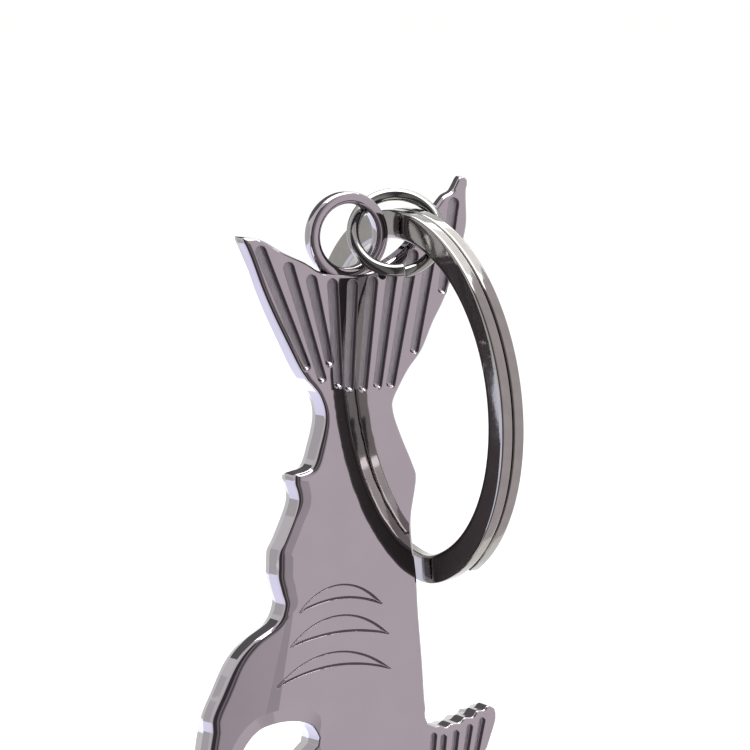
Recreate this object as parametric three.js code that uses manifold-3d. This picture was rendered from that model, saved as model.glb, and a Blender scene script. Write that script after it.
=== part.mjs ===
import * as THREE from 'three';
import { mergeVertices } from 'three/addons/utils/BufferGeometryUtils.js';
import Module from 'manifold-3d';

// A shark-shaped bottle opener for a key ring, standing tail up, in millimetres.
// X runs across the flat of the casting, Z runs from snout to tail. The flat back lies in the
// plane y = 0 and the decorated front face looks towards -Y.

const PLATE = 3.6;               // thickness of the casting
const TAIL_TIP_THINNING = 1.3;   // how much thinner the tail is at its tips
const TAIL_ROOT_Z = 13.5;        // the front face starts to slope back here
const TAIL_LENGTH = 15;
const RIB_GROOVE_DEPTH = 0.45;
const GILL_DEPTH = 0.3;
const TEETH = 5;                 // along the roof of the mouth
const FIRST_TOOTH_Z = -15.6;
const TOOTH_PITCH = 2.3;

const EYELET_CENTRE = new THREE.Vector3(0.55, -1.6, 25.57);
const EYELET_RADIUS = 3.02;      // to the middle of the loop's section
const EYELET_HALF_WIDTH = 0.5;   // half the section, along the radius
const EYELET_HALF_DEPTH = 0.7;   // half the section, along Y

const JUMP_RING_CENTRE = new THREE.Vector3(4.54, -2.47, 25.69);
const JUMP_RING_AXIS = new THREE.Vector3(-0.364, -0.763, 0.534);
const JUMP_RING_RADIUS = 3.43;   // to the middle of the wire
const JUMP_WIRE = 1.0;           // wire diameter
const JUMP_GAP_ANGLE = 4;        // open butt joint, degrees

const KEY_RING_CENTRE = new THREE.Vector3(6.47, -2.01, 12.56);
const KEY_RING_AXIS = new THREE.Vector3(0.9969, 0.0421, 0.0671);
const KEY_RING_OUTER = 15;       // outer radius
const KEY_RING_BAND = 2.3;       // radial width of the flat wire
const KEY_RING_WIRE = 0.98;      // thickness of one coil
const KEY_RING_PITCH = 1.04;     // from coil to coil
const KEY_RING_CORNER = 0.32;    // chamfer on the wire's corners
const KEY_RING_CROSSING = 44;    // degrees over which the wire steps from coil to coil

const wasm = await Module();
wasm.setup();

const castMetal = new THREE.MeshStandardMaterial({ color: 0xa39ca3, roughness: 0.08, metalness: 1 });
const springSteel = new THREE.MeshStandardMaterial({ color: 0xc4c2be, roughness: 0.1, metalness: 1 });
const roundWire = new THREE.MeshStandardMaterial({ color: 0xb9b8b6, roughness: 0.1, metalness: 1 });

// ---- solids -------------------------------------------------------------------------------

function toSolid(geometry, matrix = new THREE.Matrix4()) {
  const bare = geometry.clone().applyMatrix4(matrix);
  for (const name of Object.keys(bare.attributes)) {
    if (name !== 'position') bare.deleteAttribute(name);
  }
  const merged = mergeVertices(bare, 1e-4);
  const vertProperties = new Float32Array(merged.attributes.position.array);
  const triVerts = new Uint32Array(merged.index.array);
  return new wasm.Manifold(new wasm.Mesh({ numProp: 3, vertProperties, triVerts }));
}

function toGeometry(solid) {
  const mesh = solid.getMesh();
  const geometry = new THREE.BufferGeometry();
  geometry.setAttribute('position', new THREE.BufferAttribute(new Float32Array(mesh.vertProperties), 3));
  geometry.setIndex(new THREE.BufferAttribute(new Uint32Array(mesh.triVerts), 1));
  geometry.computeVertexNormals();
  return geometry;
}

// A drawing in (x, z), extruded so that it spans y = -from to y = -to.
function slab(shape, from, to, curveSegments = 3) {
  const geometry = new THREE.ExtrudeGeometry(shape, { depth: to - from, bevelEnabled: false, curveSegments });
  geometry.translate(0, 0, from);
  geometry.rotateX(Math.PI / 2);
  return geometry;
}

function points(pairs) {
  return pairs.map(([x, z]) => new THREE.Vector2(x, z));
}

// ---- the casting's outline, in (x, z) -----------------------------------------------------

function bodyOutline() {
  const outline = new THREE.Shape();
  // belly side: down the tail, past the pelvic fin, to the throat and the lower jaw
  outline.moveTo(-9.0, 25.8);
  outline.lineTo(-3.5, 14.5);
  outline.splineThru(points([[-2.45, 13.1], [-2.0, 11.3], [-2.5, 9.0], [-3.2, 7.3], [-4.7, 6.8]]));
  outline.splineThru(points([[-4.4, 5.2], [-5.0, 2.8], [-5.8, 0.6], [-6.35, -0.9], [-5.8, -2.3],
    [-5.5, -3.4], [-6.3, -4.9], [-8.4, -6.3], [-9.8, -7.8], [-11.0, -10.1], [-12.0, -12.3],
    [-12.6, -15.5], [-13.0, -19.5], [-12.7, -22.8], [-11.4, -24.9]]));
  // the lip that goes under the cap, and up the inside of the jaw to the corner of the mouth
  outline.splineThru(points([[-10.0, -25.4], [-8.6, -24.6], [-9.2, -23.2]]));
  outline.splineThru(points([[-10.0, -21.2], [-10.2, -18.4], [-9.95, -15.8], [-8.7, -13.7],
    [-6.9, -12.6], [-5.1, -12.4], [-3.6, -12.95], [-2.85, -14.1]]));
  // teeth along the roof of the mouth
  for (let tooth = 0; tooth < TEETH; tooth += 1) {
    const z = FIRST_TOOTH_Z - tooth * TOOTH_PITCH;
    outline.quadraticCurveTo(-3.2, z + 0.55, -4.1, z);
    outline.quadraticCurveTo(-3.3, z - 0.55, -2.9, z - 0.6 * TOOTH_PITCH);
  }
  // snout, forehead and the front edge of the dorsal fin
  outline.splineThru(points([[-3.5, -29.4], [-3.9, -33.6], [-3.5, -37.4], [-2.2, -39.9], [-0.5, -40.6],
    [1.4, -39.6], [3.8, -36.6], [6.0, -32.4], [7.5, -28.4], [8.4, -25.2]]));
  outline.splineThru(points([[10.2, -21.6], [11.8, -18.0], [12.8, -15.4], [13.4, -13.4], [13.1, -12.75]]));
  outline.splineThru(points([[12.0, -12.7], [10.8, -13.4], [9.1, -13.95], [7.1, -13.7]]));
  // the back, from the dorsal fin up to the tail's long lobe
  outline.splineThru(points([[6.5, -12.2], [6.3, -8.5], [6.0, -4.7], [5.8, -1.7], [5.4, 1.3], [5.35, 3.2],
    [5.8, 6.0], [5.5, 7.2], [4.5, 9.4], [3.75, 11.4], [3.8, 12.7], [5.1, 14.8], [6.5, 16.4],
    [7.8, 18.5], [9.2, 20.7], [10.5, 24.8], [11.0, 27.2], [11.3, 29.6]]));
  outline.lineTo(10.6, 29.9);
  // the tail's trailing edge, with a flat for the eyelet in the notch
  outline.splineThru(points([[9.9, 29.1], [9.1, 28.5], [8.2, 27.4], [7.4, 25.8], [5.8, 24.2],
    [4.2, 23.2], [2.5, 22.5], [0.5, 22.3], [-2.0, 22.6], [-3.3, 23.3], [-5.4, 24.3], [-7.5, 25.5]]));
  outline.closePath();
  return outline;
}

// A groove with round ends from (x1, z1) to (x2, z2).
function grooveShape([x1, z1], [x2, z2], width) {
  const along = Math.atan2(z2 - z1, x2 - x1);
  const groove = new THREE.Shape();
  groove.absarc(x2, z2, width / 2, along - Math.PI / 2, along + Math.PI / 2, false);
  groove.absarc(x1, z1, width / 2, along + Math.PI / 2, along + 1.5 * Math.PI, false);
  groove.closePath();
  return groove;
}

// A crescent whose horns are at left and right, bulging towards the tail.
function crescentShape(left, right, bulge, belly) {
  const middle = (left[0] + right[0]) / 2;
  const crescent = new THREE.Shape();
  crescent.moveTo(...left);
  crescent.quadraticCurveTo(middle, bulge, ...right);
  crescent.quadraticCurveTo(middle, belly, ...left);
  return crescent;
}

const TAIL_GROOVES = [
  [[-7.9, 26.2], [-4.5, 15.8]],
  [[-6.0, 25.1], [-2.7, 14.5]],
  [[-3.6, 24.1], [-2.0, 15.6]],
  [[-1.5, 23.2], [-1.2, 14.0]],
  [[0.5, 22.8], [-0.2, 13.7]],
  [[2.3, 23.0], [1.0, 13.4]],
  [[4.1, 23.8], [2.2, 13.5]],
  [[6.0, 25.2], [3.5, 13.6]],
  [[7.9, 27.9], [5.7, 16.0]],
  [[9.5, 29.4], [8.2, 20.4]],
];
const TAIL_GROOVE_WIDTH = 0.72;

const FIN_GROOVES = [
  [[7.4, -13.6], [7.0, -20.0]],
  [[8.4, -13.6], [7.9, -20.6]],
  [[9.5, -13.4], [8.9, -20.2]],
  [[10.8, -13.0], [10.0, -19.0]],
  [[12.2, -12.4], [11.3, -17.4]],
];
const FIN_GROOVE_WIDTH = 0.6;

// horn, horn, then the heights of the upper and lower curves' control points
const GILLS = [
  [[-4.5, -3.7], [2.8, -3.6], -0.4, -2.7],
  [[-5.3, -6.3], [3.3, -6.1], -2.7, -5.2],
  [[-6.5, -9.5], [3.5, -8.8], -5.4, -7.7],
];

function openerBody() {
  let body = toSolid(slab(bodyOutline(), 0, PLATE));

  // the front of the tail slopes back towards its tips
  const slope = Math.atan2(TAIL_TIP_THINNING, TAIL_LENGTH);
  const tilt = new THREE.Matrix4().makeTranslation(0, -PLATE, TAIL_ROOT_Z)
    .multiply(new THREE.Matrix4().makeRotationX(-slope));
  const waste = new THREE.BoxGeometry(40, 6, 40).translate(0, -3, 20);
  body = body.subtract(toSolid(waste, tilt));

  const ontoTail = tilt.clone().multiply(new THREE.Matrix4().makeTranslation(0, PLATE, -TAIL_ROOT_Z));
  for (const [upper, lower] of TAIL_GROOVES) {
    const groove = slab(grooveShape(upper, lower, TAIL_GROOVE_WIDTH), PLATE - RIB_GROOVE_DEPTH, PLATE + 1);
    body = body.subtract(toSolid(groove, ontoTail));
  }
  for (const [upper, lower] of FIN_GROOVES) {
    const groove = slab(grooveShape(upper, lower, FIN_GROOVE_WIDTH), PLATE - RIB_GROOVE_DEPTH, PLATE + 1);
    body = body.subtract(toSolid(groove));
  }
  for (const [left, right, bulge, belly] of GILLS) {
    const gill = slab(crescentShape(left, right, bulge, belly), PLATE - GILL_DEPTH, PLATE + 1, 8);
    body = body.subtract(toSolid(gill));
  }

  body = body.add(toSolid(eyeletLoop()));
  return toGeometry(body);
}

// The loop cast on the tail's notch: a ring of oval section whose axis is Y.
function eyeletLoop() {
  const section = [];
  const sides = 12;
  for (let i = 0; i <= sides; i += 1) {
    const angle = (i / sides) * 2 * Math.PI;
    section.push(new THREE.Vector2(
      EYELET_RADIUS + EYELET_HALF_WIDTH * Math.cos(angle),
      EYELET_HALF_DEPTH * Math.sin(angle),
    ));
  }
  section[sides] = section[0].clone();
  const loop = new THREE.LatheGeometry(section, 40);
  loop.translate(EYELET_CENTRE.x, EYELET_CENTRE.y, EYELET_CENTRE.z);
  return loop;
}

// ---- rings --------------------------------------------------------------------------------

// Places a ring drawn about the local Z axis so that this axis lies along `axis`.
function placeRing(mesh, centre, axis) {
  mesh.position.copy(centre);
  mesh.quaternion.setFromUnitVectors(new THREE.Vector3(0, 0, 1), axis.clone().normalize());
}

class CoilCurve extends THREE.Curve {
  // offset(angle) is how far the wire lies along the ring's axis at that angle
  constructor(radius, startAngle, endAngle, offset) {
    super();
    Object.assign(this, { radius, startAngle, endAngle, offset });
  }

  getPoint(t, target = new THREE.Vector3()) {
    const angle = this.startAngle + t * (this.endAngle - this.startAngle);
    return target.set(this.radius * Math.cos(angle), this.radius * Math.sin(angle), this.offset(angle));
  }
}

function jumpRing() {
  const wire = new THREE.Shape();
  wire.absarc(0, 0, JUMP_WIRE / 2, 0, 2 * Math.PI, false);
  const gap = THREE.MathUtils.degToRad(JUMP_GAP_ANGLE);
  const gapAt = THREE.MathUtils.degToRad(-60);
  const path = new CoilCurve(JUMP_RING_RADIUS, gapAt + gap / 2, gapAt + 2 * Math.PI - gap / 2, () => 0);
  return new THREE.ExtrudeGeometry(wire, { steps: 48, extrudePath: path, curveSegments: 10, bevelEnabled: false });
}

function splitRing() {
  const halfWire = KEY_RING_WIRE / 2;
  const halfBand = KEY_RING_BAND / 2;
  const c = KEY_RING_CORNER;
  const section = new THREE.Shape(points([
    [-halfWire, c - halfBand], [c - halfWire, -halfBand], [halfWire - c, -halfBand], [halfWire, c - halfBand],
    [halfWire, halfBand - c], [halfWire - c, halfBand], [c - halfWire, halfBand], [-halfWire, halfBand - c],
  ]));
  const crossing = THREE.MathUtils.degToRad(KEY_RING_CROSSING);
  const middle = 2 * Math.PI;
  // one coil, a smooth step in the middle of the wire, then the other coil beside it
  const offset = (angle) => {
    const s = THREE.MathUtils.clamp((angle - middle) / crossing + 0.5, 0, 1);
    return KEY_RING_PITCH * (THREE.MathUtils.smootherstep(s, 0, 1) - 0.5);
  };
  const endGap = 0.56 * crossing;
  const path = new CoilCurve(KEY_RING_OUTER - halfBand, endGap, 2 * middle - endGap, offset);
  return new THREE.ExtrudeGeometry(section, { steps: 150, extrudePath: path, bevelEnabled: false });
}

// ---- assembly -----------------------------------------------------------------------------

const opener = new THREE.Group();

const body = new THREE.Mesh(openerBody(), castMetal);
body.name = 'opener_body';
opener.add(body);

const jump = new THREE.Mesh(jumpRing(), roundWire);
jump.name = 'jump_ring';
placeRing(jump, JUMP_RING_CENTRE, JUMP_RING_AXIS);
opener.add(jump);

const key = new THREE.Mesh(splitRing(), springSteel);
key.name = 'split_key_ring';
placeRing(key, KEY_RING_CENTRE, KEY_RING_AXIS);
opener.add(key);

export default opener;
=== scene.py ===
import math

import bpy
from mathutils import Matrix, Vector, geometry


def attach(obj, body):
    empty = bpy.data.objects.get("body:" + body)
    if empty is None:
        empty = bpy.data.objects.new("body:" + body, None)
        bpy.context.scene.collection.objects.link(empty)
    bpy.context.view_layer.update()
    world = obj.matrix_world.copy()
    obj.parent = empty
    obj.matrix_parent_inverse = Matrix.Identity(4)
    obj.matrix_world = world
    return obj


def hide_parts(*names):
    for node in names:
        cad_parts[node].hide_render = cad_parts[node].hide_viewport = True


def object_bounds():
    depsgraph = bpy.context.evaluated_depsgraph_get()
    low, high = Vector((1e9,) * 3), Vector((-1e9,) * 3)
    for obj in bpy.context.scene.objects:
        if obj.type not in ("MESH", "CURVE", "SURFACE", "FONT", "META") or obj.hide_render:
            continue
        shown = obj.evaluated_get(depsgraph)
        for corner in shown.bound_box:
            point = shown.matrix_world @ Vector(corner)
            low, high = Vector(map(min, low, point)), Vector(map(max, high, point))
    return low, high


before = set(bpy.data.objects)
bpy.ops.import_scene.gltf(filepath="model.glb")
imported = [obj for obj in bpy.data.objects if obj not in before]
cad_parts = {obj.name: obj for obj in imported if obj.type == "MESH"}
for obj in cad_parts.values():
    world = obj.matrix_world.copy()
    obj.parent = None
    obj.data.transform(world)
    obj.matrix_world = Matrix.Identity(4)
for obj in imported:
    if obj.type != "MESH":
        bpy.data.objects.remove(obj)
cad_low, cad_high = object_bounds()

# ---- camera -------------------------------------------------------------------------------
# A long lens, six degrees above the opener and well round to its left, trained on the tail
# and the upper body. Sizes in this file are millimetres, and MM turns them to metres.

MM = 0.001
VIEW_AZIMUTH = math.radians(-28)
VIEW_ELEVATION = math.radians(6)
VIEW_TARGET = Vector((2.32, -3.10, 14.54)) * MM
VIEW_DISTANCE = 600 * MM
VIEW_WIDTH = 59.29 * MM
SENSOR_WIDTH = 36

scene = bpy.context.scene
towards_camera = Vector((
    math.sin(VIEW_AZIMUTH) * math.cos(VIEW_ELEVATION),
    -math.cos(VIEW_AZIMUTH) * math.cos(VIEW_ELEVATION),
    math.sin(VIEW_ELEVATION),
))
camera = bpy.data.objects.new("camera", bpy.data.cameras.new("camera"))
camera.data.sensor_width = SENSOR_WIDTH
camera.data.lens = SENSOR_WIDTH * VIEW_DISTANCE / VIEW_WIDTH
camera.location = VIEW_TARGET + towards_camera * VIEW_DISTANCE
camera.rotation_euler = (-towards_camera).to_track_quat("-Z", "Y").to_euler()
scene.collection.objects.link(camera)
scene.camera = camera

# ---- studio: white paper, lights and cards ------------------------------------------------
# White paper lies under the opener, lit by one soft light from above. Bright metal shows only
# what stands round it, so cards hang out of the camera's sight: white overhead, pale ones low
# behind, dark and grey ones at the rear, and one that bends round the front.

FLOOR_RADIUS = 4000 * MM
FLOOR_GAP = 0.1 * MM
FLOOR_HEIGHT = cad_low.z - FLOOR_GAP
FLOOR_SIDES = 64
SKY_BRIGHTNESS = 1.12
KEY_LIGHT_PLACE = Vector((-180, -120, 560)) * MM
KEY_LIGHT_SIZE = 480 * MM
KEY_LIGHT_POWER = 3.2
PAPER_WHITE = "F3F3F2"


def linear(hex_colour):
    """An sRGB hex colour as linear red, green, blue and alpha."""
    parts = [int(hex_colour[i:i + 2], 16) / 255 for i in (0, 2, 4)]
    return [p / 12.92 if p <= 0.04045 else ((p + 0.055) / 1.055) ** 2.4 for p in parts] + [1.0]


def add_node(tree, kind, inputs=None, **settings):
    """Adds a node. Its inputs are values, or outputs of other nodes to link from."""
    made = tree.nodes.new(kind)
    for name, value in settings.items():
        setattr(made, name, value)
    for socket, value in (inputs or {}).items():
        if isinstance(value, bpy.types.NodeSocket):
            tree.links.new(value, made.inputs[socket])
        else:
            made.inputs[socket].default_value = value
    return made


def new_material(name):
    """An empty node material and its node tree."""
    material = bpy.data.materials.new(name)
    material.use_nodes = True
    material.node_tree.nodes.clear()
    return material, material.node_tree


def new_mesh_object(name, points, faces, materials):
    """A mesh object from points in metres."""
    mesh = bpy.data.meshes.new(name)
    mesh.from_pydata(points, [], faces)
    for material in materials:
        mesh.materials.append(material)
    made = bpy.data.objects.new(name, mesh)
    scene.collection.objects.link(made)
    return made


def matt_paper():
    """Matt background paper: an even white with a faint mottle in its pulp."""
    material, tree = new_material("matt_background_paper")
    place = add_node(tree, "ShaderNodeTexCoord")
    mottle = add_node(tree, "ShaderNodeTexNoise", {"Vector": place.outputs["Object"], "Scale": 9.0})
    shade = add_node(tree, "ShaderNodeMapRange",
                     {"Value": mottle.outputs["Fac"], "To Min": 0.97, "To Max": 1.0})
    colour = add_node(tree, "ShaderNodeVectorMath",
                      {0: linear(PAPER_WHITE)[:3], "Scale": shade.outputs["Result"]}, operation="SCALE")
    paper = add_node(tree, "ShaderNodeBsdfDiffuse", {"Color": colour.outputs["Vector"]})
    add_node(tree, "ShaderNodeOutputMaterial", {"Surface": paper.outputs["BSDF"]})
    return material


def card_surface(name, tint, brightness):
    """A card lit evenly, so that metal mirrors it as a flat tone."""
    material, tree = new_material(name)
    glow = add_node(tree, "ShaderNodeEmission", {"Color": linear(tint), "Strength": brightness})
    add_node(tree, "ShaderNodeOutputMaterial", {"Surface": glow.outputs["Emission"]})
    return material


def hang_card(card):
    """Keeps a card out of sight, so that it is seen in the metal and nowhere else."""
    card.visible_camera = False
    card.visible_diffuse = False
    card.visible_shadow = False


scene.view_settings.view_transform = "Standard"
scene.world = bpy.data.worlds.new("studio_air")
scene.world.use_nodes = True
air_tree = scene.world.node_tree
air_tree.nodes.clear()
air = add_node(air_tree, "ShaderNodeBackground", {"Color": linear("FFFFFF"), "Strength": SKY_BRIGHTNESS})
add_node(air_tree, "ShaderNodeOutputWorld", {"Surface": air.outputs["Background"]})

floor_turns = [2 * math.pi * i / FLOOR_SIDES for i in range(FLOOR_SIDES)]
floor_rim = [(FLOOR_RADIUS * math.cos(a), FLOOR_RADIUS * math.sin(a), FLOOR_HEIGHT) for a in floor_turns]
new_mesh_object("paper_floor", floor_rim, [list(range(FLOOR_SIDES))], [matt_paper()])

key_light = bpy.data.objects.new("key_light", bpy.data.lights.new("key_light", "AREA"))
key_light.data.shape = "DISK"
key_light.data.size = KEY_LIGHT_SIZE
key_light.data.energy = KEY_LIGHT_POWER
key_light.location = KEY_LIGHT_PLACE
key_light.rotation_euler = KEY_LIGHT_PLACE.to_track_quat("Z", "Y").to_euler()
key_light.visible_glossy = False
scene.collection.objects.link(key_light)

# Flat cards: name, tint, brightness, then the lowest and highest corner in millimetres.
FLAT_CARDS = [
    ("overhead_softbox", "FFFFFF", 6.0, (-130, -190, 430), (370, 400, 430)),
    ("low_lavender_card", "E8EBFF", 2.0, (-230, 8, -40), (22, 330, -40)),
    ("low_white_card", "FFFFFF", 2.4, (-14, 66, -39.8), (40, 112, -39.8)),
    ("overhead_scrim", "FFFFFF", 2.3, (140, -70, 425), (330, 300, 425)),
    ("rear_dark_card", "FFFFFF", 0.2, (-112, 250, 88), (130, 251, 235)),
    ("rear_grey_card", "FFFFFF", 0.88, (-260, 252, -41), (60, 253, 88)),
]
for name, tint, brightness, lowest, highest in FLAT_CARDS:
    beside_lowest = (highest[0], lowest[1], lowest[2])
    beside_highest = (lowest[0], highest[1], highest[2])
    points = [Vector(corner) * MM for corner in (lowest, beside_lowest, highest, beside_highest)]
    hang_card(new_mesh_object(name, points, [(0, 1, 2, 3)], [card_surface(name, tint, brightness)]))

# A card bent round the front, standing and with its foot turned in along the floor. It is
# lilac on the right and black on the left, with a soft change between and a grey stripe in
# the black. Its brightness goes by the angle round the opener, in degrees from straight
# ahead with the left side positive.
FRONT_CARD_SHADES = [
    (-80, 1.0), (-23, 1.0), (-17, 0.86), (-11, 0.74), (-3, 0.6), (7, 0.38), (17, 0.12), (22, 0.08),
    (27, 0.34), (42, 0.34), (48, 0.08), (80, 0.08), (92, 1.0),
]
FRONT_CARD_TINT = "FFF6FC"
FRONT_CARD_RADIUS = 62
FRONT_CARD_FOOT = 14
FRONT_CARD_TOP = 120
FRONT_CARD_STEP = 2
FRONT_CARD_GAP = 0.4

card_first = FRONT_CARD_SHADES[0][0]
card_last = FRONT_CARD_SHADES[-1][0]
card_floor = FLOOR_HEIGHT / MM + FRONT_CARD_GAP
card_bends = [
    (FRONT_CARD_FOOT, card_floor), (FRONT_CARD_RADIUS, card_floor), (FRONT_CARD_RADIUS, FRONT_CARD_TOP),
]
card_rows = len(card_bends)
card_points = []
card_glow = []
for angle in range(card_first, card_last + 1, FRONT_CARD_STEP):
    before = [shade for shade in FRONT_CARD_SHADES if shade[0] <= angle][-1]
    after = [shade for shade in FRONT_CARD_SHADES if shade[0] >= angle][0]
    share = (angle - before[0]) / max(after[0] - before[0], 1)
    turn = math.radians(angle)
    for radius, height in card_bends:
        card_points.append((-radius * math.sin(turn) * MM, -radius * math.cos(turn) * MM, height * MM))
        card_glow.append(before[1] + share * (after[1] - before[1]))
card_faces = [
    (i + row, i + row + 1, i + row + card_rows + 1, i + row + card_rows)
    for i in range(0, len(card_points) - card_rows, card_rows) for row in range(card_rows - 1)
]


def lilac_and_black_card():
    """The front card's surface. Its glow changes along it, so tones run softly in the metal."""
    material, tree = new_material("lilac_and_black_card")
    shade = add_node(tree, "ShaderNodeAttribute", attribute_name="glow")
    glow = add_node(tree, "ShaderNodeEmission",
                    {"Color": linear(FRONT_CARD_TINT), "Strength": shade.outputs["Fac"]})
    add_node(tree, "ShaderNodeOutputMaterial", {"Surface": glow.outputs["Emission"]})
    return material


front_card = new_mesh_object("front_card", card_points, card_faces, [lilac_and_black_card()])
card_shades = front_card.data.attributes.new("glow", "FLOAT", "POINT")
card_shades.data.foreach_set("value", card_glow)
hang_card(front_card)

# ---- the casting --------------------------------------------------------------------------
# The opener itself: a shark-shaped plate of zinc alloy, die cast in one piece with its tail
# loop, polished by tumbling and buffing, then plated in bright black nickel over nickel.
# The die halves met half way up the edge, which leaves a low ridge all round.

PLATE = 3.6
TAIL_THINNING = 0.115
FRONT_LEAN = 0.022
LEAN_START_X = -6.5
CASTING_SPAN_X = (-12.98, 13.38)
CASTING_SPAN_Z = (-40.58, 29.84)
LEFT_SIDE_X = -1.5

# Buffing rounds the front edge unevenly, and leaves the teeth and the tips sharper. Down the
# left side the radius goes by the height, as (height, radius). Areas are spans of x and of z.
# The back edge is little rounder than the front edge beside it, and the sides have a draft.
EDGE_RADIUS = 0.36
LEFT_EDGE_RADII = [
    (99, 0.36), (25.7, 0.36), (25.2, 0.5), (14.2, 0.5), (12.9, 0.36), (11.0, 0.44), (9.0, 0.56),
    (7.4, 0.56), (6.0, 0.52), (4.8, 0.42), (3.6, 0.25), (1.6, 0.27), (0.6, 0.6), (-2.2, 0.62),
    (-3.6, 0.44), (-6.0, 0.56), (-9.0, 0.75), (-99, 0.75),
]
TOOTH_EDGE_RADIUS = 0.15
MOUTH_AREA = ((-10.5, -2), (-27.5, -12))
TIP_EDGE_RADIUS = 0.2
FIN_TIP_AREA = ((6.8, 99), (-16, -12.4))
TAIL_TIP_Z = 28.9
BACK_RADIUS = 0.3
BACK_RADIUS_EXCESS = 0.05
FRONT_DRAFT = 0.06
BACK_DRAFT = 0.2

# Buffing also leaves a shallow strip inside the front edge, at the belly and in the mouth: its
# width and drop, and the spans over which it fades in and out.
BELLY_STRIP = (0.62, 0.085)
BELLY_STRIP_FOOT = (-4.4, -3.0)
BELLY_STRIP_TOP = (6.2, 6.7)
MOUTH_STRIP = (0.95, 0.16)
MOUTH_STRIP_AREA = ((-10.6, -2.6), (-99, -12.3))
MOUTH_STRIP_FOOT = (-20.5, -17.0)
MOUTH_STRIP_END = (-3.6, -2.9)

# The ridge lies half way up the edge. It stands out above the fin, more on the left lobe of
# the tail and hardly at all on the tail's tips. A span is where such a change begins and ends.
RIDGE_SHARE = 0.5
RIDGE_STAND = 0.3
RIDGE_START_Z = (-13.2, -12.0)
LOBE_STAND = 0.25
LOBE_LEFT_OF = (3.0, 3.8)
LOBE_FOOT_Z = (13.6, 16.0)
LOBE_TOP_Z = (19.0, 25.0)
TIP_LOSS = 0.85
LEFT_TIP_LEFT_OF = (6.5, 8.8)
LEFT_TIP_Z = (20.0, 25.0)
RIGHT_TIP_Z = (26.0, 28.6)

# The outline as (x, z): smooth curves through the knots of each stretch, and a row of teeth.
# A tooth's points have their x and their height above its tip.
SPLINE_STEPS = 8
SCALLOP_STEPS = 4
TEETH = 5
FIRST_TOOTH_Z = -15.6
TOOTH_PITCH = 2.3
TOOTH_SHAPE = [(-3.0, 0.42 * TOOTH_PITCH), (-3.3, 0.5), (-4.05, 0), (-3.4, -0.5)]
BELLY = [
    [(-9.0, 25.8), (-7.2, 22.1), (-5.3, 18.2), (-3.5, 14.5)],
    [(-3.5, 14.5), (-2.45, 13.1), (-2.0, 11.3), (-2.5, 9.0), (-3.2, 7.3), (-4.7, 6.8)],
    [(-4.7, 6.8), (-4.68, 6.3), (-4.42, 5.5), (-4.37, 4.7), (-4.73, 3.6), (-5.6, 1.7), (-6.08, 0.8),
     (-6.15, -0.4), (-6.15, -1.2), (-5.85, -2.3), (-5.6, -3.4), (-6.3, -4.9), (-8.4, -6.3),
     (-9.8, -7.8), (-11.0, -10.1), (-12.0, -12.3), (-12.6, -15.5), (-13.0, -19.5), (-12.7, -22.8),
     (-11.4, -24.9), (-10.0, -25.4), (-8.6, -24.6), (-9.2, -23.2)],
]
MOUTH_ROOF = [(-9.2, -23.2), (-10.0, -21.2), (-10.2, -18.4), (-9.95, -15.8), (-8.7, -13.7),
              (-6.9, -12.6), (-5.1, -12.4), (-3.6, -12.95), (-2.85, -14.1)]
SNOUT = [(-2.95, -26.2), (-3.5, -29.4), (-3.9, -33.6), (-3.5, -37.4), (-2.2, -39.9), (-0.5, -40.6),
         (1.4, -39.6), (3.8, -36.6), (6.0, -32.4), (7.5, -28.4), (8.4, -25.2), (10.2, -21.6),
         (11.8, -18.0), (12.8, -15.4), (13.4, -13.6), (13.2, -12.85)]
FIN_SCALLOPS = [(13.2, -12.85), (12.6, -12.65), (12.15, -12.9), (11.5, -12.95), (11.1, -13.35),
                (10.4, -13.35), (9.9, -13.7), (9.2, -13.75), (8.7, -14.0), (8.1, -13.85), (7.7, -13.85),
                (7.1, -13.6)]
BACK_AND_TAIL = [
    [(7.1, -13.6), (6.65, -12.2), (6.35, -8.5), (6.0, -4.7), (5.8, -1.7), (5.4, 1.3), (5.35, 3.2),
     (5.8, 6.0), (5.5, 7.2), (4.5, 9.4), (3.75, 11.4), (3.8, 12.7), (5.1, 14.8), (6.5, 16.4),
     (7.65, 18.5), (9.0, 20.7), (10.8, 24.8), (11.35, 27.2), (11.65, 29.5)],
    [(11.65, 29.5), (11.35, 29.82), (11.0, 29.82), (10.75, 29.6)],
    [(10.75, 29.6), (10.45, 29.1), (10.1, 28.65), (9.4, 28.3), (8.75, 27.5), (8.15, 26.7), (7.4, 25.8),
     (5.8, 24.2), (4.2, 23.2), (2.5, 22.5), (0.5, 22.3), (-2.0, 22.6), (-3.3, 23.3), (-5.4, 24.3),
     (-7.5, 25.5), (-9.0, 25.8)],
]


def smooth_curve(knots, steps=SPLINE_STEPS):
    """Points on a smooth curve through the knots, all but the last."""
    ends = [knots[0], *knots, knots[-1]]
    made = []
    for a, b, c, d in zip(ends, ends[1:], ends[2:], ends[3:]):
        for step in range(steps):
            t = step / steps
            made.append(Vector([
                q + 0.5 * t * (r - p + t * (2 * p - 5 * q + 4 * r - s + t * (3 * q - p - 3 * r + s)))
                for p, q, r, s in zip(a, b, c, d)
            ]))
    return made


def casting_outline():
    """The plate's outline as (x, z), from the tail's left tip down the belly and round."""
    outline = [p for stretch in BELLY for p in smooth_curve(stretch)]
    outline += smooth_curve(MOUTH_ROOF)
    for tooth in range(TEETH):
        z = FIRST_TOOTH_Z - tooth * TOOTH_PITCH
        outline += [Vector((x, z + above)) for x, above in TOOTH_SHAPE]
    outline += smooth_curve(SNOUT) + smooth_curve(FIN_SCALLOPS, SCALLOP_STEPS)
    return outline + [p for stretch in BACK_AND_TAIL for p in smooth_curve(stretch)]


# Keeps the mitres of sharp corners short.
MITRE_LIMIT = 0.45


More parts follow.
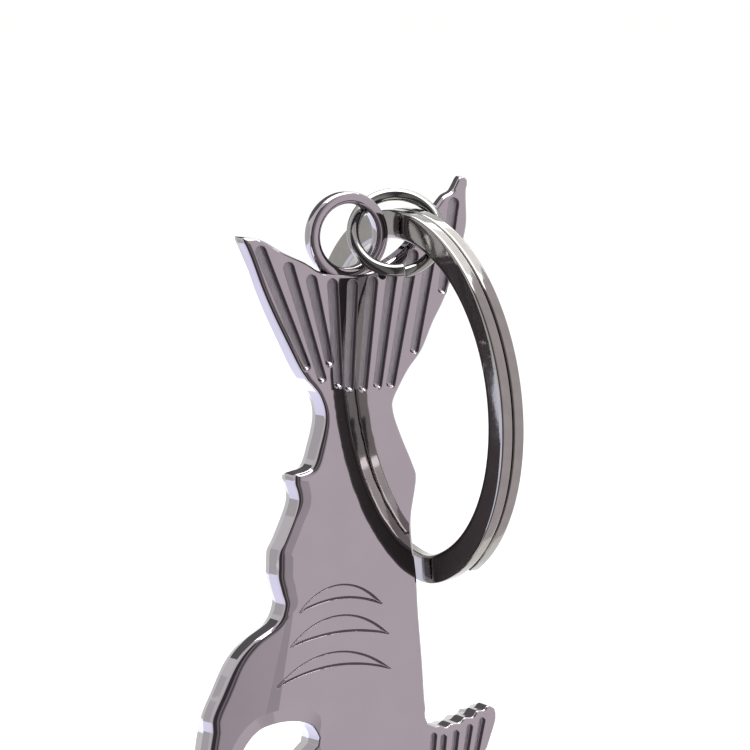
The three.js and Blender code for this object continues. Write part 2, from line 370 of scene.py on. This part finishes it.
def outward(points):
    """At each point of a closed outline that runs anticlockwise, the mitred way out of it."""
    made = []
    for before, here, after in zip(points[-1:] + points[:-1], points, points[1:] + points[:1]):
        a = Vector((here.y - before.y, before.x - here.x)).normalized()
        b = Vector((after.y - here.y, here.x - after.x)).normalized()
        made.append((a + b) / max(1 + a.dot(b), MITRE_LIMIT))
    return made


def within(p, area):
    """Whether a point lies in an area, which is a span of x and a span of z."""
    (left, right), (bottom, top) = area
    return left < p.x < right and bottom < p.y < top


def edge_radius(p):
    """The rounding of the front edge at a point of the outline."""
    if within(p, MOUTH_AREA):
        return TOOTH_EDGE_RADIUS
    if p.y > TAIL_TIP_Z or within(p, FIN_TIP_AREA):
        return TIP_EDGE_RADIUS
    if p.x > LEFT_SIDE_X:
        return EDGE_RADIUS
    above = [step for step in LEFT_EDGE_RADII if step[0] >= p.y][-1]
    below = [step for step in LEFT_EDGE_RADII if step[0] < p.y][0]
    return below[1] + (above[1] - below[1]) * (p.y - below[0]) / (above[0] - below[0])


def ramp(value, low, high):
    """0 below low, 1 above high, and a smooth rise between."""
    t = min(max((value - low) / (high - low), 0), 1)
    return t * t * (3 - 2 * t)


def edge_strip(p):
    """Width and drop of the shallow strip inside the front edge, at a point of the outline."""
    if p.x < LEFT_SIDE_X and p.y > BELLY_STRIP_FOOT[0]:
        share = ramp(p.y, *BELLY_STRIP_FOOT) * (1 - ramp(p.y, *BELLY_STRIP_TOP))
        return BELLY_STRIP[0] * share, BELLY_STRIP[1] * share
    if within(p, MOUTH_STRIP_AREA):
        share = ramp(p.y, *MOUTH_STRIP_FOOT) * (1 - ramp(p.x, *MOUTH_STRIP_END))
        return MOUTH_STRIP[0] * share, MOUTH_STRIP[1] * share
    return 0.0, 0.0


def full_inset(p):
    """How far inside the outline the flat front face begins."""
    return edge_radius(p) + edge_strip(p)[0]


def ridge_stand(p):
    """How far the ridge stands out of the outline, which was drawn along the back edge."""
    on_lobe = ramp(-p.x, *LOBE_LEFT_OF) * ramp(p.y, *LOBE_FOOT_Z) * (1 - ramp(p.y, *LOBE_TOP_Z))
    on_tip = max(ramp(-p.x, *LEFT_TIP_LEFT_OF) * ramp(p.y, *LEFT_TIP_Z), ramp(p.y, *RIGHT_TIP_Z))
    return (RIDGE_STAND * ramp(p.y, *RIDGE_START_Z) + LOBE_STAND * on_lobe) * (1 - TIP_LOSS * on_tip)


# The least share of its length that a side may keep in the narrower outline.
FOLD_SHARE = 0.05


def without_folds(points):
    """Drops points beside sharp corners, where a narrower outline would fold over itself."""
    folded = True
    while folded:
        ways = outward(points)
        inner = [p - w * full_inset(p) for p, w in zip(points, ways)]
        folded = False
        kept = []
        for i, p in enumerate(points):
            j = (i + 1) % len(points)
            along = points[j] - p
            if folded or (inner[j] - inner[i]).dot(along) > FOLD_SHARE * along.length_squared:
                kept.append(p)
                continue
            folded = True
            turn_here = ways[i].length
            turn_next = ways[j].length
            if turn_here > turn_next and j:
                kept.append(p)
                del points[j]
                kept += points[j:]
                break
            kept += points[i + 1:]
            break
        points = kept
    return points


class Skin:
    """Points, faces and corner normals of a piece, gathered in millimetres."""

    def __init__(self):
        self.points = []
        self.faces = []
        self.normals = []
        self.finishes = []

    def ring(self, points):
        """Adds points and returns their numbers."""
        first = len(self.points)
        self.points += [Vector(p) for p in points]
        return list(range(first, len(self.points)))

    def face(self, corners, normals, finish=0):
        """Adds a face turned the way its corner normals point."""
        a, b, c = (self.points[corners[i]] for i in (0, 1, 2))
        facing = (b - a).cross(c - a)
        if len(corners) > 3:
            facing += (c - a).cross(self.points[corners[3]] - a)
        if facing.dot(sum(normals, Vector())) < 0:
            corners = corners[::-1]
            normals = normals[::-1]
        self.faces.append(corners)
        self.normals += normals
        self.finishes.append(finish)

    def band(self, ring_a, normals_a, ring_b, normals_b):
        """Joins two rings with four-sided faces."""
        count = len(ring_a)
        for i in range(count):
            j = (i + 1) % count
            self.face([ring_a[i], ring_a[j], ring_b[j], ring_b[i]],
                      [normals_a[i], normals_a[j], normals_b[j], normals_b[i]])

    def piece(self, name, materials):
        """Makes the mesh object, smooth where the corner normals agree."""
        made = new_mesh_object(name, [p * MM for p in self.points], self.faces, materials)
        made.data.polygons.foreach_set("material_index", self.finishes)
        made.data.polygons.foreach_set("use_smooth", [True] * len(self.faces))
        made.data.normals_split_custom_set([n.normalized() for n in self.normals])
        return made


def inside(x, y, loop):
    """Whether a point is inside a closed loop."""
    odd = False
    for (ax, ay), (bx, by) in zip(loop, loop[1:] + loop[:1]):
        if (ay > y) != (by > y) and x < ax + (y - ay) / (by - ay) * (bx - ax):
            odd = not odd
    return odd


def kept_in(value, span):
    """A value, or the end of the span that it has passed."""
    return min(max(value, span[0]), span[1])


back_outline = casting_outline()
ridge_outline = [p + w * ridge_stand(p) for p, w in zip(back_outline, outward(back_outline))]
outline = without_folds([
    Vector((kept_in(p.x, CASTING_SPAN_X), kept_in(p.y, CASTING_SPAN_Z))) for p in ridge_outline
])
ways_out = outward(outline)
flat_rim = [p - w * full_inset(p) for p, w in zip(outline, ways_out)]


def nearest(target, points):
    """The number of the point that is nearest to the target."""
    return min(range(len(points)), key=lambda i: (points[i] - Vector(target)).length)


# The front leans back a little towards the right, and bends back on three creases: one across
# the root of the tail, which thins towards its tips, and two down the cheek behind the mouth,
# steep between them and gentle beyond. Each is where it begins, where it ends, its bend in
# slope, and whether it stays on the cheek.
CREASE_LINES = [
    ((3.9, 13.5), (-2.9, 13.5), TAIL_THINNING, False),
    ((-5.2, -3.9), (-6.6, -11.6), 0.12, True),
    ((-6.0, -4.4), (-7.5, -12.4), -0.055, True),
]
NEAR_NOTHING = 0.01
creases = []
for crease_start, crease_end, crease_bend, on_cheek in CREASE_LINES:
    crease_ends = (nearest(crease_start, flat_rim), nearest(crease_end, flat_rim))
    start, end = (flat_rim[i] for i in crease_ends)
    creases.append((crease_ends, (end - start).normalized(), crease_bend, on_cheek))


def facet(point):
    """Depth below the highest level of the front and the facet's normal, at (x, z)."""
    depth = FRONT_LEAN * (point[0] - LEAN_START_X)
    normal = Vector((FRONT_LEAN, -1, 0))
    for ends, along, bend, on_cheek in creases:
        start = flat_rim[ends[0]]
        past = along.y * (point[0] - start.x) - along.x * (point[1] - start.y)
        off_cheek = point[0] > LEFT_SIDE_X or point[1] > start.y + NEAR_NOTHING
        if past > 0 and not (on_cheek and off_cheek):
            depth += past * bend
            normal += Vector((along.y, 0, -along.x)) * bend
    return depth, normal.normalized()


def on_front(point, depth=0.0):
    """A point of the front face, or one sunk below it."""
    return Vector((point[0], depth + facet(point)[0] - PLATE, point[1]))


def leaning(plane, way, tilt):
    """A normal that leans from the plane's own towards a way in the outline's plane."""
    lean = math.radians(tilt)
    return plane * math.cos(lean) + Vector((way[0], 0, way[1])).normalized() * math.sin(lean)


# The edge is turned from the flat front, over the strip and the rounding, down to the ridge
# and from there to the back. A bend is how far its surface has turned, in degrees.
FRONT_BENDS = [22, 45, 68, 87]
BACK_BENDS = [106, 125, 152, 180]
SHOULDER_LAP = 0.001

casting = Skin()
flat_ring = casting.ring([on_front(p) for p in flat_rim])
strip_normals = []
for p, w in zip(outline, ways_out):
    width, drop = edge_strip(p)
    lean = math.degrees(math.atan2(drop, width)) if width > NEAR_NOTHING else 0.0
    strip_normals.append(leaning(facet(p)[1], w, lean))
shoulder = casting.ring([
    on_front(p - w * (edge_radius(p) - SHOULDER_LAP), edge_strip(p)[1]) for p, w in zip(outline, ways_out)
])
casting.band(flat_ring, strip_normals, shoulder, strip_normals)
previous, previous_normals = shoulder, strip_normals
for bend in FRONT_BENDS:
    angle = math.radians(bend)
    points = []
    for p, w in zip(outline, ways_out):
        r = edge_radius(p)
        sunk = edge_strip(p)[1] + r * (1 - math.cos(angle))
        flat = p - w * (r * (1 - math.sin(angle)) + FRONT_DRAFT)
        points.append(Vector((flat.x, on_front(p - w * r)[1] + sunk, flat.y)))
    normals = [leaning(facet(p)[1], w, bend) for p, w in zip(outline, ways_out)]
    ring = casting.ring(points)
    casting.band(previous, previous_normals, ring, normals)
    previous, previous_normals = ring, normals
ridge = casting.ring([Vector((p.x, RIDGE_SHARE * on_front(p)[1], p.y)) for p in outline])
casting.band(previous, previous_normals, ridge, previous_normals)
level = Vector((0, -1, 0))
previous = ridge
previous_normals = [leaning(level, w, BACK_BENDS[0]) for w in ways_out]
for bend in BACK_BENDS:
    angle = math.radians(bend - 90) if bend > BACK_BENDS[0] else 0
    points = []
    for p, w in zip(outline, ways_out):
        r = min(BACK_RADIUS, edge_radius(p) + BACK_RADIUS_EXCESS)
        flat = p - w * (r * (1 - math.cos(angle)) + BACK_DRAFT + ridge_stand(p))
        points.append(Vector((flat.x, -r * (1 - math.sin(angle)), flat.y)))
    normals = [leaning(level, w, bend) for w in ways_out]
    ring = casting.ring(points)
    casting.band(previous, previous_normals, ring, normals)
    previous, previous_normals = ring, normals
back_ring = previous

# Slots pressed into the front. A slot's far end can run out: its wall is drawn in along the
# slot by run_out times the inset, and leans less where it faces up. The wall above the
# centreline can have its own share of the slot's inset and depth at each point.
SLOT_CAP_STEPS = 6
SLOT_LEAST_HALF = 0.015
RUN_OUT_LEAN = 0.6
RUN_OUT_RISE = 0.5


def slot_loop(centreline, half_widths, inset, shares_above, run_out):
    """A slot's loop round its centreline, with the way in and the share of depth at each point."""
    last = len(centreline) - 1
    sides = []
    for i, p in enumerate(centreline):
        along = (centreline[min(i + 1, last)] - centreline[max(i - 1, 0)]).normalized()
        sides.append(Vector((-along.y, along.x)))
    reach = [max(w - inset, SLOT_LEAST_HALF) for w in half_widths]
    reach_above = [max(w - inset * share, SLOT_LEAST_HALF) for w, share in zip(half_widths, shares_above)]
    loop = []
    ways = []
    shares = []
    for order, sign, end in ((range(last + 1), 1, last), (range(last, -1, -1), -1, 0)):
        for i in order:
            loop.append(centreline[i] + sides[i] * sign * (reach_above if sign > 0 else reach)[i])
            ways.append(-sides[i] * sign)
            shares.append(shares_above[i] if sign > 0 else 1.0)
        for step in range(1, SLOT_CAP_STEPS):
            turn = math.pi * step / SLOT_CAP_STEPS
            along = Vector((sides[end].y, -sides[end].x)) * sign
            spoke = sides[end] * sign * math.cos(turn) + along * math.sin(turn)
            shift = along * math.sin(turn) * inset * run_out if end else Vector((0, 0))
            loop.append(centreline[end] + spoke * reach[end] - shift)
            ways.append(-spoke)
            shares.append(shares_above[end] if spoke.dot(sides[end]) > 0 else 1.0)
    return loop, ways, shares


def sink_slot(centreline, half_widths, profile, floor_finish, shares_above=None, run_out=0.0):
    """Sinks a slot into the front. The profile is (inset, depth, lean) from rim to floor."""
    shares_above = shares_above or [1.0] * len(centreline)
    rim = slot_loop(centreline, half_widths, 0, shares_above, run_out)[0]
    first = casting.ring([on_front(p) for p in rim])
    normals = [facet(p)[1] for p in rim]
    previous, previous_normals = first, normals
    for inset, depth, lean in profile:
        loop, ways, shares = slot_loop(centreline, half_widths, inset, shares_above, run_out)
        ring = casting.ring([on_front(p, depth * share) for p, share in zip(loop, shares)])
        leans = [lean * (RUN_OUT_LEAN if run_out and w.y > RUN_OUT_RISE else 1.0) for w in ways]
        normals = [leaning(facet(p)[1], w, a) for p, w, a in zip(loop, ways, leans)]
        casting.band(previous, previous_normals, ring, normals)
        previous, previous_normals = ring, normals
    count = len(centreline)
    cap = len(rim) // 2 - count
    for i in range(count - 1):
        j = 2 * count + cap - 1 - i
        flat = facet(centreline[i])[1]
        casting.face([ring[i], ring[i + 1], ring[j - 1], ring[j]], [flat] * 4, floor_finish)
    for start, end in ((count - 1, centreline[-1]), (2 * count + cap - 1, centreline[0])):
        flat = facet(end)[1]
        ends = [ring[(start + k) % len(ring)] for k in range(cap + 2)]
        casting.face(ends, [flat] * len(ends), floor_finish)
    return rim, first


# Grooves of the tail and the fin, as the ends of their centrelines. Their floors keep the
# skin of the die and are left unpolished, and are painted darker as shade in the grooves. A set
# also has its half widths at the top and the bottom and its number of points. A profile is
# (inset, depth, lean) from rim to floor.
TAIL_GROOVES = [
    ((-7.55, 25.05), (-3.9, 15.5)), ((-5.1, 23.7), (-2.55, 14.5)), ((-3.1, 22.75), (-1.8, 15.75)),
    ((-1.15, 22.25), (-1.1, 14.0)), ((0.7, 21.95), (-0.15, 13.7)), ((2.5, 22.1), (1.1, 13.6)),
    ((4.35, 22.8), (2.4, 13.75)), ((6.35, 24.1), (3.6, 13.75)), ((8.55, 26.3), (5.9, 16.3)),
    ((10.35, 28.3), (8.75, 20.9)),
]
FIN_GROOVES = [
    ((7.55, -14.65), (7.05, -20.0)), ((8.45, -14.85), (7.9, -20.6)), ((9.6, -14.6), (8.9, -20.2)),
    ((10.85, -14.2), (10.0, -19.0)), ((12.0, -13.75), (11.2, -17.4)),
]
GROOVE_SETS = [(TAIL_GROOVES, 0.53, 0.43, 14), (FIN_GROOVES, 0.33, 0.29, 8)]
GROOVE_PROFILE = [
    (0.03, 0.008, 28), (0.055, 0.03, 58), (0.07, 0.07, 82), (0.1, 0.27, 82), (0.12, 0.33, 50),
    (0.16, 0.36, 12),
]
GROOVE_RUN_OUT = 2.4
GROOVE_LAND = 0.02
GROOVE_TRIES = 250
# The second finish is the unpolished skin of the groove and nostril floors, with painted shade in its
# colour.
POLISHED, UNPOLISHED_IN_PAINTED_SHADE = 0, 1


def short_of_edge(top, bottom, half_width):
    """The highest point of a groove's centreline at which its round end stays on the flat."""
    for step in range(GROOVE_TRIES):
        p = Vector(top).lerp(Vector(bottom), step / GROOVE_TRIES)
        room = min((p - q).length for q in flat_rim)
        if inside(p.x, p.y, flat_rim) and room > half_width + GROOVE_LAND:
            return p
    return Vector(top)


slots = []
for grooves, top_half, bottom_half, count in GROOVE_SETS:
    shares = [i / (count - 1) for i in range(count)]
    widths = [top_half + (bottom_half - top_half) * t for t in shares]
    for top, bottom in grooves:
        start = short_of_edge(top, bottom, top_half)
        line = [start.lerp(Vector(bottom), t) for t in shares]
        slots.append(sink_slot(line, widths, GROOVE_PROFILE, UNPOLISHED_IN_PAINTED_SHADE, run_out=GROOVE_RUN_OUT))

# Gill marks: crescents pressed into the plate, each from horn to horn, with the heights at
# which its upper and lower curves cross the middle. Their upper walls deepen to the right.
GILLS = [
    ((-4.6, -3.9), (2.75, -3.65), -1.95, -3.0), ((-5.4, -6.6), (3.35, -6.1), -4.4, -5.7),
    ((-6.6, -9.7), (3.5, -8.9), -7.3, -8.35),
]
GILL_PROFILE = [
    (0.025, 0.01, 30), (0.05, 0.05, 62), (0.12, 0.21, 66), (0.13, 0.215, -60), (0.21, 0.07, -58),
    (0.24, 0.035, -30), (0.27, 0.03, 0),
]
GILL_HORN_HALF = 0.11
GILL_LEFT_SHARE = 0.5
GILL_SHARE_GAIN = 0.8
GILL_STEPS = 28
for left, right, top, bottom in GILLS:
    line = []
    widths = []
    upper_shares = []
    for i in range(GILL_STEPS + 1):
        t = i / GILL_STEPS
        chord = Vector(left).lerp(Vector(right), t)
        arch = 4 * t * (1 - t)
        upper = chord.y + arch * (top - (left[1] + right[1]) / 2)
        lower = chord.y + arch * (bottom - (left[1] + right[1]) / 2)
        line.append(Vector((chord.x, (upper + lower) / 2)))
        widths.append(GILL_HORN_HALF + (upper - lower) / 2)
        upper_shares.append(GILL_LEFT_SHARE + GILL_SHARE_GAIN * t * t)
    slots.append(sink_slot(line, widths, GILL_PROFILE, POLISHED, shares_above=upper_shares))

# The eye is a round socket with a low dome in it, and the nostril a short slit.
EYE_PLACE = Vector((1.6, -24.8))
EYE_STEP = Vector((0.02, 0))
EYE_HALF = 1.15
EYE_PROFILE = [
    (0.04, 0.02, 35), (0.09, 0.1, 70), (0.16, 0.28, 60), (0.26, 0.36, 10), (0.34, 0.34, -35),
    (0.5, 0.22, -32), (0.7, 0.13, -20), (0.9, 0.09, -9), (1.05, 0.08, -3),
]
NOSTRIL = [Vector((-0.6, -34.4)), Vector((0.9, -33.7))]
NOSTRIL_HALF = 0.3
slots.append(sink_slot([EYE_PLACE - EYE_STEP, EYE_PLACE + EYE_STEP], [EYE_HALF] * 2, EYE_PROFILE, POLISHED))
slots.append(sink_slot(NOSTRIL, [NOSTRIL_HALF] * 2, GROOVE_PROFILE, UNPOLISHED_IN_PAINTED_SHADE))

# Points that lie closer than this are one.
SAME_POINT = 1e-5


def fill(rim_ring, rim_loop, holes, folds, normal_at, place):
    """Fills the flat face inside a rim, round its holes and along its folds."""
    loops = [(rim_loop, rim_ring), *holes]
    flat_points = []
    numbers = []
    edges = []
    for loop, ring in loops:
        first = len(flat_points)
        flat_points += [Vector((p[0], p[1])) for p in loop]
        numbers += ring
        edges += [(first + i, first + (i + 1) % len(loop)) for i in range(len(loop))]
    edges += folds
    points, _, triangles, origins, _, _ = geometry.delaunay_2d_cdt(flat_points, edges, [], 0, SAME_POINT)
    numbers = [
        numbers[origin[0]] if origin else casting.ring([place(p)])[0] for origin, p in zip(origins, points)
    ]
    outer = [tuple(p) for p in rim_loop]
    hole_loops = [[tuple(p) for p in loop] for loop, _ in holes]
    boxes = [(min(p[0] for p in h), max(p[0] for p in h), min(p[1] for p in h), max(p[1] for p in h))
             for h in hole_loops]
    for triangle in triangles:
        x, y = sum((points[i] for i in triangle), Vector((0, 0))) / 3
        in_hole = any(
            b[0] < x < b[1] and b[2] < y < b[3] and inside(x, y, h) for b, h in zip(boxes, hole_loops)
        )
        if inside(x, y, outer) and not in_hole:
            corners = [numbers[i] for i in triangle]
            if len(set(corners)) == 3:
                casting.face(corners, [normal_at((x, y))] * 3)


fill(flat_ring, flat_rim, slots, [c[0] for c in creases], lambda p: facet(p)[1], on_front)
back_loop = [Vector((casting.points[i].x, casting.points[i].z)) for i in back_ring]
fill(back_ring, back_loop, [], [], lambda p: Vector((0, 1, 0)), lambda p: Vector((p[0], 0, p[1])))

# The loop cast on the notch of the tail: a ring of flattened section, its axis along Y. Where
# a wire is cut, its end is chamfered down to a share of its section.
LOOP_CENTRE = Vector((0.55, -1.6, 25.57))
LOOP_RADIUS = 3.02
LOOP_HALF_WIDTH = 0.49
LOOP_HALF_DEPTH = 0.69
LOOP_SQUARENESS = 3.4
LOOP_SIDES = 28
LOOP_STEPS = 72
CHAMFERED_SHARE = 0.86


def signed_power(value, power):
    """A power of a number's size, with the number's sign."""
    return math.copysign(abs(value) ** power, value)


def wire_section(half_a, half_b, squareness, count):
    """Points and normals of a wire's section, from round (2) to nearly square (8)."""
    power = 2 / squareness
    made = []
    for i in range(count):
        angle = 2 * math.pi * (i + 0.5) / count
        c, s = math.cos(angle), math.sin(angle)
        point = (signed_power(c, power) * half_a, signed_power(s, power) * half_b)
        lean = (signed_power(c, 2 - power) / half_a, signed_power(s, 2 - power) / half_b)
        made.append((point, Vector(lean).normalized()))
    return made


def run_wire(skin, frames, section, closed=False, end_chamfer=0.0):
    """Sweeps a section along frames of (centre, first axis, second axis)."""
    def ring_at(centre, a, b, scale=1.0):
        ring = skin.ring([centre + (a * p[0] + b * p[1]) * scale for p, _ in section])
        return ring, [a * n[0] + b * n[1] for _, n in section]
    rings = [ring_at(*f) for f in frames]
    joins = list(zip(rings, rings[1:]))
    if closed:
        joins.append((rings[-1], rings[0]))
    for (ring_a, normals_a), (ring_b, normals_b) in joins:
        skin.band(ring_a, normals_a, ring_b, normals_b)
    if closed:
        return
    for near, beside in ((0, 1), (-1, -2)):
        centre, a, b = frames[near]
        way = (centre - frames[beside][0]).normalized()
        tip, normals = ring_at(centre + way * end_chamfer, a, b, CHAMFERED_SHARE)
        slanted = [n + way for n in normals]
        skin.band(rings[near][0], slanted, tip, slanted)
        skin.face(tip, [way] * len(tip))


loop_frames = []
for i in range(LOOP_STEPS):
    turn = 2 * math.pi * i / LOOP_STEPS
    spoke = Vector((math.sin(turn), 0, math.cos(turn)))
    loop_frames.append((LOOP_CENTRE + spoke * LOOP_RADIUS, spoke, Vector((0, 1, 0))))
loop_section = wire_section(LOOP_HALF_WIDTH, LOOP_HALF_DEPTH, LOOP_SQUARENESS, LOOP_SIDES)
run_wire(casting, loop_frames, loop_section, closed=True)

# The plating's two tones, whose faint lilac is painted reflection, the dark of its pits, the
# share of places that have no pit, and the two tones of the plating where it lies on
# unpolished skin, darker partly for the skin and partly as painted shade in the grooves.
BLACK_NICKEL_AND_PAINTED_LILAC = ("A19BA0", "A9A3A8")
PIT_DARK = "6E666C"
PIT_RARITY = 0.78
SKIN_TONES_WITH_PAINTED_SHADE = ("7C7A7C", "B0ADB1")


def noise(tree, place, scale, detail, **inputs):
    """A noise texture, to be read as one shade."""
    inputs.update({"Vector": place, "Scale": scale, "Detail": detail})
    return add_node(tree, "ShaderNodeTexNoise", inputs).outputs["Fac"]


def spread(tree, shade, low, high):
    """A shade from 0 to 1 spread between two values."""
    made = add_node(tree, "ShaderNodeMapRange", {"Value": shade, "To Min": low, "To Max": high})
    return made.outputs["Result"]


def mix(tree, share, first, second):
    """Two colours mixed. The node's inputs 0, 6 and 7 are its share and its two colours."""
    return add_node(tree, "ShaderNodeMix", {0: share, 6: first, 7: second}, data_type="RGBA").outputs[2]


def arithmetic(tree, operation, first, second):
    """The outcome of one sum on two shades."""
    return add_node(tree, "ShaderNodeMath", {0: first, 1: second}, operation=operation).outputs[0]


def plate_metal(tree, colour, roughness, relief, strength, depth):
    """Ends a plated metal's nodes: a bare metal surface, with its relief as a bump."""
    bump = add_node(tree, "ShaderNodeBump", {"Height": relief, "Strength": strength, "Distance": depth})
    metal = add_node(tree, "ShaderNodeBsdfPrincipled",
                     {"Base Color": colour, "Metallic": 1.0, "Roughness": roughness,
                      "Normal": bump.outputs["Normal"]})
    add_node(tree, "ShaderNodeOutputMaterial", {"Surface": metal.outputs["BSDF"]})


def bright_black_nickel():
    """Bright black nickel on buffed zinc: a grey mirror with faint haze and a few pits, tinted lilac as a
    painted reflection.
    """
    material, tree = new_material("bright_black_nickel_plate")
    place = add_node(tree, "ShaderNodeTexCoord").outputs["Object"]
    cloud = noise(tree, place, scale=260.0, detail=3.0)
    # The grey is the plating's own; its faint lilac is painted reflection of lilac surroundings.
    tone = mix(tree, cloud, linear(BLACK_NICKEL_AND_PAINTED_LILAC[0]), linear(BLACK_NICKEL_AND_PAINTED_LILAC[1]))
    pit_cells = add_node(tree, "ShaderNodeTexVoronoi", {"Vector": place, "Scale": 330.0})
    pit_pick = add_node(tree, "ShaderNodeSeparateColor", {"Color": pit_cells.outputs["Color"]})
    pit_chosen = arithmetic(tree, "GREATER_THAN", pit_pick.outputs["Red"], PIT_RARITY)
    pit_spot = add_node(tree, "ShaderNodeMapRange",
                        {"Value": pit_cells.outputs["Distance"], "From Min": 0.02, "From Max": 0.06,
                         "To Min": 1.0, "To Max": 0.0})
    pit = arithmetic(tree, "MULTIPLY", pit_chosen, pit_spot.outputs["Result"])
    pitted = mix(tree, pit, tone, linear(PIT_DARK))
    haze = spread(tree, cloud, low=0.015, high=0.04)
    wave = noise(tree, place, scale=420.0, detail=2.0)
    relief = arithmetic(tree, "SUBTRACT", wave, pit)
    plate_metal(tree, pitted, haze, relief, strength=0.25, depth=0.02 * MM)
    return material


def unpolished_and_shaded_black_nickel():
    """The same plating on the skin the die left: satin, with fine drags along the grooves, and dark partly
    as painted shade deep in the grooves.
    """
    material, tree = new_material("black_nickel_cast_skin_painted_shade")
    place = add_node(tree, "ShaderNodeTexCoord").outputs["Object"]
    stretch = add_node(tree, "ShaderNodeMapping", {"Vector": place, "Scale": (1.0, 1.0, 0.22)})
    grain = noise(tree, stretch.outputs["Vector"], scale=4200.0, detail=4.0, Roughness=0.65)
    # Painted shade: the skin's tones are set darker than the polished plate's, for the shade on the groove
    # floors.
    tone = mix(tree, grain, linear(SKIN_TONES_WITH_PAINTED_SHADE[0]), linear(SKIN_TONES_WITH_PAINTED_SHADE[1]))
    satin = spread(tree, grain, low=0.24, high=0.46)
    plate_metal(tree, tone, satin, grain, strength=0.7, depth=0.05 * MM)
    return material


shark_casting = casting.piece("shark_casting", [bright_black_nickel(), unpolished_and_shaded_black_nickel()])
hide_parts("opener_body")
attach(shark_casting, "opener")

# ---- the jump ring ------------------------------------------------------------------------
# A ring of round steel wire, wound on a mandrel, cut, and closed through the casting's loop
# with pliers, so that its sheared ends butt not quite in line. Bright nickel plate.

JUMP_CENTRE = Vector((4.54, -2.47, 25.69))
JUMP_AXIS = Vector((-0.364, -0.763, 0.534)).normalized()
JUMP_RADIUS = 3.43
JUMP_WIRE = 0.99
JUMP_SQUARENESS = 2
JUMP_SIDES = 24
JUMP_CHAMFER = 0.04
JUMP_GAP_AT = math.radians(-106)
JUMP_GAP = math.radians(3)
JUMP_STEPS = 90
JUMP_SPRING = 0.26
JUMP_SPRING_POWER = 7
JUMP_NICKEL = ("888986", "9C9D9A")

jump_turn = Vector((0, 0, 1)).rotation_difference(JUMP_AXIS)
jump_first = JUMP_GAP_AT + JUMP_GAP / 2
jump_last = JUMP_GAP_AT + 2 * math.pi - JUMP_GAP / 2


def round_ring_frames(centre, turn, radius, first, last, steps, offset):
    """Frames round a ring, from its first angle to its last, with a shift along its axis."""
    frames = []
    for i in range(steps + 1):
        angle = first + (last - first) * i / steps
        spoke = turn @ Vector((math.cos(angle), math.sin(angle), 0))
        axis = turn @ Vector((0, 0, 1))
        frames.append((centre + spoke * radius + axis * offset(angle), spoke, axis))
    return frames


def jump_spring(angle):
    """How far the wire has sprung along the axis: nothing but near its ends, which part."""
    share = (angle - jump_first) / (jump_last - jump_first)
    return JUMP_SPRING * (2 * share - 1) ** JUMP_SPRING_POWER


jump_frames = round_ring_frames(
    JUMP_CENTRE, jump_turn, JUMP_RADIUS, jump_first, jump_last, JUMP_STEPS, jump_spring
)
jump_section = wire_section(JUMP_WIRE / 2, JUMP_WIRE / 2, JUMP_SQUARENESS, JUMP_SIDES)
jump_skin = Skin()
run_wire(jump_skin, jump_frames, jump_section, end_chamfer=JUMP_CHAMFER)


def bright_nickel(name, tones, haze, line_scale):
    """Bright nickel plate on drawn wire: a neutral mirror with fine lines from the die."""
    material, tree = new_material(name)
    place = add_node(tree, "ShaderNodeTexCoord").outputs["Object"]
    cloud = noise(tree, place, scale=900.0, detail=3.0)
    tone = mix(tree, cloud, linear(tones[0]), linear(tones[1]))
    lines = noise(tree, place, scale=line_scale, detail=3.0, Roughness=0.6)
    plate_metal(tree, tone, spread(tree, cloud, *haze), lines, strength=0.3, depth=0.02 * MM)
    return material


round_wire_nickel = bright_nickel(
    "bright_nickel_round_wire", JUMP_NICKEL, haze=(0.05, 0.12), line_scale=1500.0
)
jump_ring = jump_skin.piece("round_jump_ring", [round_wire_nickel])
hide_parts("jump_ring")
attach(jump_ring, "jump_ring")

# ---- the split key ring -------------------------------------------------------------------
# Two turns of flattened spring-steel wire lying face to face, which step across each other
# at the bottom beside the two cut ends. Wound, set, tumbled and plated in bright nickel.

KEY_CENTRE = Vector((6.47, -2.01, 12.56))
KEY_AXIS = Vector((0.9969, 0.0421, 0.0671)).normalized()
KEY_OUTER = 14.99
KEY_BAND = 2.28
KEY_WIRE = 1.01
KEY_PITCH = 1.03
KEY_SQUARENESS = 8
KEY_SIDES = 36
KEY_CHAMFER = 0.08
KEY_CROSSING = math.radians(44)
KEY_END_AT = 0.56 * KEY_CROSSING
KEY_STEPS = 260
KEY_NICKEL = ("898683", "9B9895")

key_turn = Vector((0, 0, 1)).rotation_difference(KEY_AXIS)


def coil_offset(angle):
    """How far along the axis the wire lies: one turn, a step across, then the other turn."""
    t = min(max((angle - 2 * math.pi) / KEY_CROSSING + 0.5, 0), 1)
    return KEY_PITCH * (t * t * t * (t * (6 * t - 15) + 10) - 0.5)


key_frames = round_ring_frames(
    KEY_CENTRE, key_turn, KEY_OUTER - KEY_BAND / 2, KEY_END_AT, 4 * math.pi - KEY_END_AT, KEY_STEPS,
    coil_offset,
)
key_section = wire_section(KEY_BAND / 2, KEY_WIRE / 2, KEY_SQUARENESS, KEY_SIDES)
key_skin = Skin()
run_wire(key_skin, key_frames, key_section, end_chamfer=KEY_CHAMFER)
spring_wire_nickel = bright_nickel(
    "bright_nickel_spring_wire", KEY_NICKEL, haze=(0.05, 0.13), line_scale=1100.0
)
key_ring = key_skin.piece("split_ring", [spring_wire_nickel])
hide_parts("split_key_ring")
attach(key_ring, "key_ring")
